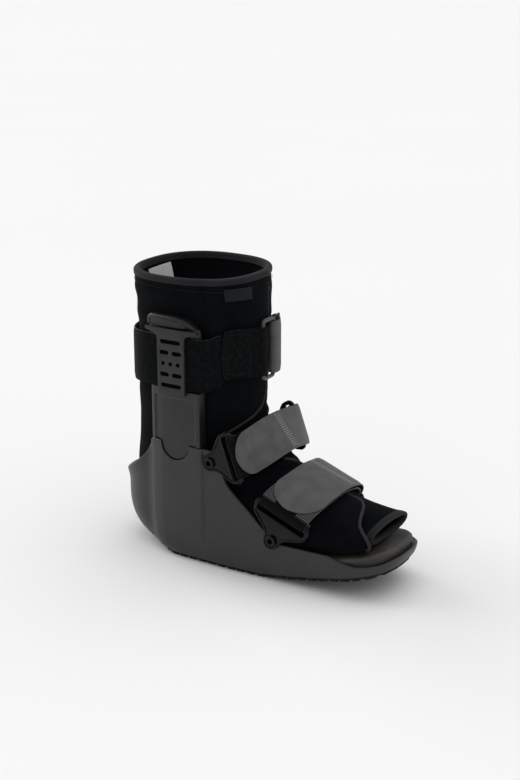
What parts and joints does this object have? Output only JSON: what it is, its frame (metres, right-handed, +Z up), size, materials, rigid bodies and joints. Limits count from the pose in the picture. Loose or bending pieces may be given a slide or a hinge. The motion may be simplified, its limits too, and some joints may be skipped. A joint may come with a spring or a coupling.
{
  "type": "walking boot",
  "caption": "Short orthopaedic walking boot: rocker-soled hard shell, side uprights, padded open-toed liner, calf strap through slotted keepers and two foot straps on pivoting brackets.",
  "frame": {"origin": "on the floor, midway between heel and toe and between the two sides", "axes": "+X to the toe, +Y to the side that the flaps and straps close towards, +Z up the leg"},
  "size_m": [0.308, 0.1254, 0.2789],
  "materials": {
    "shell_plastic": "fine matte grain",
    "bracket_plastic": "satin",
    "outsole_rubber": "matte",
    "footbed_foam": "soft matte foam",
    "liner_cloth": "brushed knit",
    "binding_tape": "woven tape",
    "loop_strap": "fuzzy loop",
    "foot_strap": "smooth faced, loop backed",
    "label_satin": "satin ribbon"
  },
  "bodies": {
    "root": {"shell": "shell_plastic", "upright_right": "shell_plastic", "upright_left": "shell_plastic", "strap_keeper_right": "shell_plastic", "strap_keeper_left": "shell_plastic", "ankle_bracket_right": "bracket_plastic", "ankle_bracket_left": "bracket_plastic", "toe_bracket_right": "bracket_plastic", "toe_bracket_left": "bracket_plastic", "ankle_rivet_right": "bracket_plastic", "ankle_rivet_left": "bracket_plastic", "toe_rivet_right": "bracket_plastic", "toe_rivet_left": "bracket_plastic", "calf_ring": "bracket_plastic", "outsole": "outsole_rubber", "footbed": "footbed_foam", "liner": "liner_cloth", "leg_flap": "liner_cloth", "foot_flap": "liner_cloth", "top_binding": "binding_tape", "toe_binding": "binding_tape", "leg_flap_binding": "binding_tape", "foot_flap_binding": "binding_tape", "front_closure_tape": "binding_tape", "outer_label": "binding_tape", "calf_strap": "loop_strap", "calf_ring_tab": "loop_strap", "instep_strap": "foot_strap", "toe_strap": "foot_strap", "inner_label": "label_satin"}
  },
  "joints": []
}
